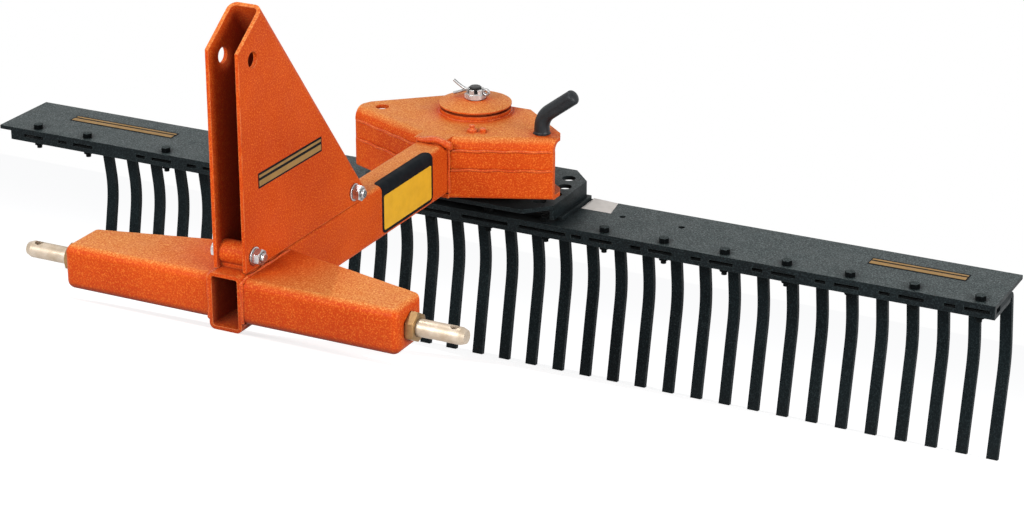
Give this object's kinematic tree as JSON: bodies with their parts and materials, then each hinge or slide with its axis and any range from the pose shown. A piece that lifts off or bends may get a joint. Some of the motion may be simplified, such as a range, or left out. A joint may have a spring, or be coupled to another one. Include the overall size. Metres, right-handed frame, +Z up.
{
  "type": "landscape rake",
  "caption": "Three-point hitch landscape rake: a swivelling bar of curved spring tines under a tongue with a top-link mast and lower hitch pins, laid down as it parks.",
  "frame": {"origin": "on the floor under the middle of the whole machine's box, as it parks", "axes": "+X to the machine's side that the index pin is on, along the rake bar; +Y rearwards, away from the tractor; +Z up. The machine is parked, nose down by 23.9 degrees."},
  "size_m": [1.6, 0.8824, 0.3996],
  "materials": {
    "orange_paint": "semi-gloss orange paint",
    "black_paint": "satin black paint",
    "zinc_plate": "bright zinc plate",
    "yellow_zinc": "yellow zinc plate",
    "grip_vinyl": "dipped black vinyl"
  },
  "bodies": {
    "frame": {"tongue": "orange_paint", "hitch_bar_right": "orange_paint", "hitch_bar_left": "orange_paint", "lower_pin_right": "zinc_plate", "lower_pin_left": "zinc_plate", "pin_collar_right": "yellow_zinc", "pin_collar_left": "yellow_zinc", "mast": "orange_paint", "mast_boss_front": "orange_paint", "mast_boss_rear": "orange_paint", "mast_bolt_front": "zinc_plate", "mast_nut_front": "zinc_plate", "mast_bolt_rear": "zinc_plate", "mast_nut_rear": "zinc_plate", "mast_washers": "zinc_plate", "head_upper_shell": "orange_paint", "head_lower_shell": "orange_paint", "head_wall_right": "orange_paint", "head_wall_left": "orange_paint", "pivot_tube": "orange_paint", "cap_ring": "orange_paint", "index_pin": "black_paint", "index_grip": "grip_vinyl"},
    "rake": {"king_pin": "zinc_plate", "cap_disc": "orange_paint", "castle_nut": "zinc_plate", "cotter_pin": "zinc_plate", "thrust_washer": "black_paint", "turntable": "black_paint", "turntable_base": "black_paint", "rake_bar": "black_paint", "clamp_strip": "black_paint", "clamp_strip_left": "black_paint", "clamp_bolts": "black_paint", "clamp_nuts": "black_paint", "tines_right": "black_paint", "tines_middle": "black_paint", "tines_left": "black_paint"}
  },
  "joints": [
    {"name": "rake_swivel", "type": "hinge", "parent": "frame", "child": "rake", "pos_m": [0, 0.30952, 0.27458], "axis": [0, -0.4056, 0.9141], "continuous": true}
  ]
}
